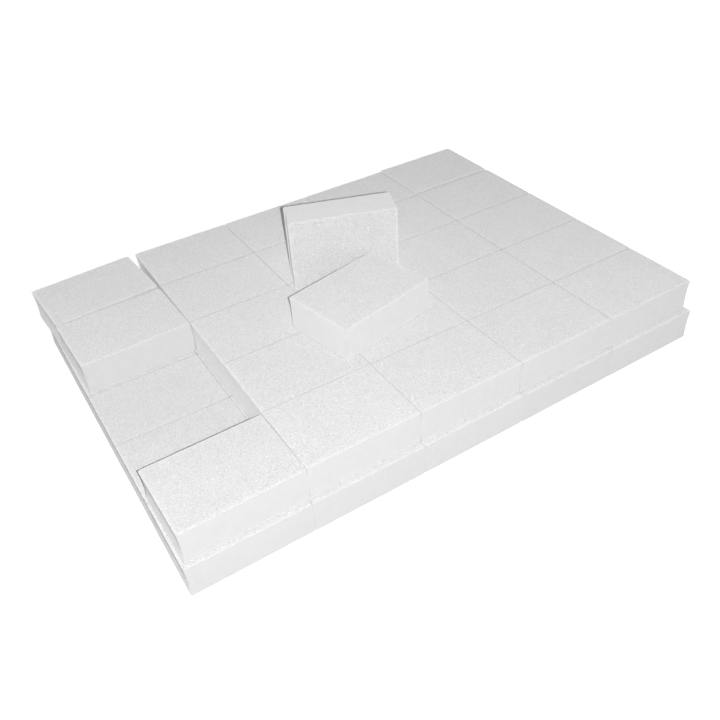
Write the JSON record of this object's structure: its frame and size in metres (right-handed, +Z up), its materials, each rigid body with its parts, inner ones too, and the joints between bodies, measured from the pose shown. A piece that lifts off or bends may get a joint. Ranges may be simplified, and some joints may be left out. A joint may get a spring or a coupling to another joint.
{
  "type": "nail buffer block pack",
  "caption": "Layered pack of small rectangular foam nail buffer blocks faced with white abrasive sheets, with loose blocks lying and standing on top of the stack.",
  "frame": {"origin": "centre of the lower layer's underside", "axes": "+X to the right along the rows, which is the blocks' long direction, +Y from the front row to the back row, +Z up"},
  "size_m": [0.1797, 0.1289, 0.0475],
  "materials": {
    "foam": "closed-cell foam, die-cut, matt",
    "coarse_sheet": "white abrasive paper, coarser grit",
    "fine_sheet": "white abrasive paper, finer grit",
    "bonded_sheet": "white abrasive paper with its adhesive film",
    "adhesive": "thin translucent adhesive film"
  },
  "bodies": {
    "pack": {"lower_layer_foam_cores": "foam", "lower_layer_coarse_sheets": "coarse_sheet", "lower_layer_fine_sheets": "fine_sheet", "lower_layer_adhesive_films": "adhesive", "held_down_foam_cores": "foam", "held_down_coarse_sheets": "coarse_sheet", "held_down_fine_sheets": "fine_sheet", "held_down_adhesive_films": "adhesive"},
    "upper_a1": {"upper_a1_foam_core": "foam", "upper_a1_bonded_sheets": "bonded_sheet"},
    "upper_a2": {"upper_a2_foam_core": "foam", "upper_a2_bonded_sheets": "bonded_sheet"},
    "upper_a3": {"upper_a3_foam_core": "foam", "upper_a3_bonded_sheets": "bonded_sheet"},
    "upper_a4": {"upper_a4_foam_core": "foam", "upper_a4_bonded_sheets": "bonded_sheet"},
    "upper_a5": {"upper_a5_foam_core": "foam", "upper_a5_bonded_sheets": "bonded_sheet"},
    "upper_b4": {"upper_b4_foam_core": "foam", "upper_b4_bonded_sheets": "bonded_sheet"},
    "upper_b5": {"upper_b5_foam_core": "foam", "upper_b5_bonded_sheets": "bonded_sheet"},
    "upper_c5": {"upper_c5_foam_core": "foam", "upper_c5_bonded_sheets": "bonded_sheet"},
    "upper_d1": {"upper_d1_foam_core": "foam", "upper_d1_bonded_sheets": "bonded_sheet"},
    "upper_d2": {"upper_d2_foam_core": "foam", "upper_d2_bonded_sheets": "bonded_sheet"},
    "upper_d4": {"upper_d4_foam_core": "foam", "upper_d4_bonded_sheets": "bonded_sheet"},
    "upper_d5": {"upper_d5_foam_core": "foam", "upper_d5_bonded_sheets": "bonded_sheet"},
    "upper_e1": {"upper_e1_foam_core": "foam", "upper_e1_bonded_sheets": "bonded_sheet"},
    "upper_e2": {"upper_e2_foam_core": "foam", "upper_e2_bonded_sheets": "bonded_sheet"},
    "upper_e3": {"upper_e3_foam_core": "foam", "upper_e3_bonded_sheets": "bonded_sheet"},
    "upper_e4": {"upper_e4_foam_core": "foam", "upper_e4_bonded_sheets": "bonded_sheet"},
    "upper_e5": {"upper_e5_foam_core": "foam", "upper_e5_bonded_sheets": "bonded_sheet"},
    "lower_c1": {"lower_c1_foam_core": "foam", "lower_c1_bonded_sheets": "bonded_sheet"},
    "loose_block": {"loose_block_foam_core": "foam", "loose_block_coarse_sheet": "coarse_sheet", "loose_block_fine_sheet": "fine_sheet", "loose_block_coarse_film": "adhesive", "loose_block_fine_film": "adhesive"},
    "standing_block": {"standing_block_foam_core": "foam", "standing_block_coarse_sheet": "coarse_sheet", "standing_block_fine_sheet": "fine_sheet", "standing_block_coarse_film": "adhesive", "standing_block_fine_film": "adhesive"}
  },
  "joints": [
    {"name": "upper_a1_lift", "type": "slide", "parent": "pack", "child": "upper_a1", "axis": [0, 0, 1], "range_m": [0, 0.038]},
    {"name": "upper_a2_lift", "type": "slide", "parent": "pack", "child": "upper_a2", "axis": [0, 0, 1], "range_m": [0, 0.038]},
    {"name": "upper_a3_lift", "type": "slide", "parent": "pack", "child": "upper_a3", "axis": [0, 0, 1], "range_m": [0, 0.038]},
    {"name": "upper_a4_lift", "type": "slide", "parent": "pack", "child": "upper_a4", "axis": [0, 0, 1], "range_m": [0, 0.038]},
    {"name": "upper_a5_lift", "type": "slide", "parent": "pack", "child": "upper_a5", "axis": [0, 0, 1], "range_m": [0, 0.038]},
    {"name": "upper_b4_lift", "type": "slide", "parent": "pack", "child": "upper_b4", "axis": [0, 0, 1], "range_m": [0, 0.038]},
    {"name": "upper_b5_lift", "type": "slide", "parent": "pack", "child": "upper_b5", "axis": [0, 0, 1], "range_m": [0, 0.038]},
    {"name": "upper_c5_lift", "type": "slide", "parent": "pack", "child": "upper_c5", "axis": [0, 0, 1], "range_m": [0, 0.038]},
    {"name": "upper_d1_lift", "type": "slide", "parent": "pack", "child": "upper_d1", "axis": [0, 0, 1], "range_m": [0, 0.038]},
    {"name": "upper_d2_lift", "type": "slide", "parent": "pack", "child": "upper_d2", "axis": [0, 0, 1], "range_m": [0, 0.038]},
    {"name": "upper_d4_lift", "type": "slide", "parent": "pack", "child": "upper_d4", "axis": [0, 0, 1], "range_m": [0, 0.038]},
    {"name": "upper_d5_lift", "type": "slide", "parent": "pack", "child": "upper_d5", "axis": [0, 0, 1], "range_m": [0, 0.038]},
    {"name": "upper_e1_lift", "type": "slide", "parent": "pack", "child": "upper_e1", "axis": [0, 0, 1], "range_m": [0, 0.038]},
    {"name": "upper_e2_lift", "type": "slide", "parent": "pack", "child": "upper_e2", "axis": [0, 0, 1], "range_m": [0, 0.038]},
    {"name": "upper_e3_lift", "type": "slide", "parent": "pack", "child": "upper_e3", "axis": [0, 0, 1], "range_m": [0, 0.038]},
    {"name": "upper_e4_lift", "type": "slide", "parent": "pack", "child": "upper_e4", "axis": [0, 0, 1], "range_m": [0, 0.038]},
    {"name": "upper_e5_lift", "type": "slide", "parent": "pack", "child": "upper_e5", "axis": [0, 0, 1], "range_m": [0, 0.038]},
    {"name": "lower_c1_lift", "type": "slide", "parent": "pack", "child": "lower_c1", "axis": [0, 0, 1], "range_m": [0, 0.049]},
    {"name": "loose_block_lift", "type": "slide", "parent": "pack", "child": "loose_block", "axis": [0, 0, 1], "range_m": [0, 0.026]},
    {"name": "standing_block_tip", "type": "hinge", "parent": "pack", "child": "standing_block", "pos_m": [0.0026, 0.01373, 0.0225], "axis": [0.9367, -0.3502, 0], "range_deg": [-90, 0]}
  ]
}
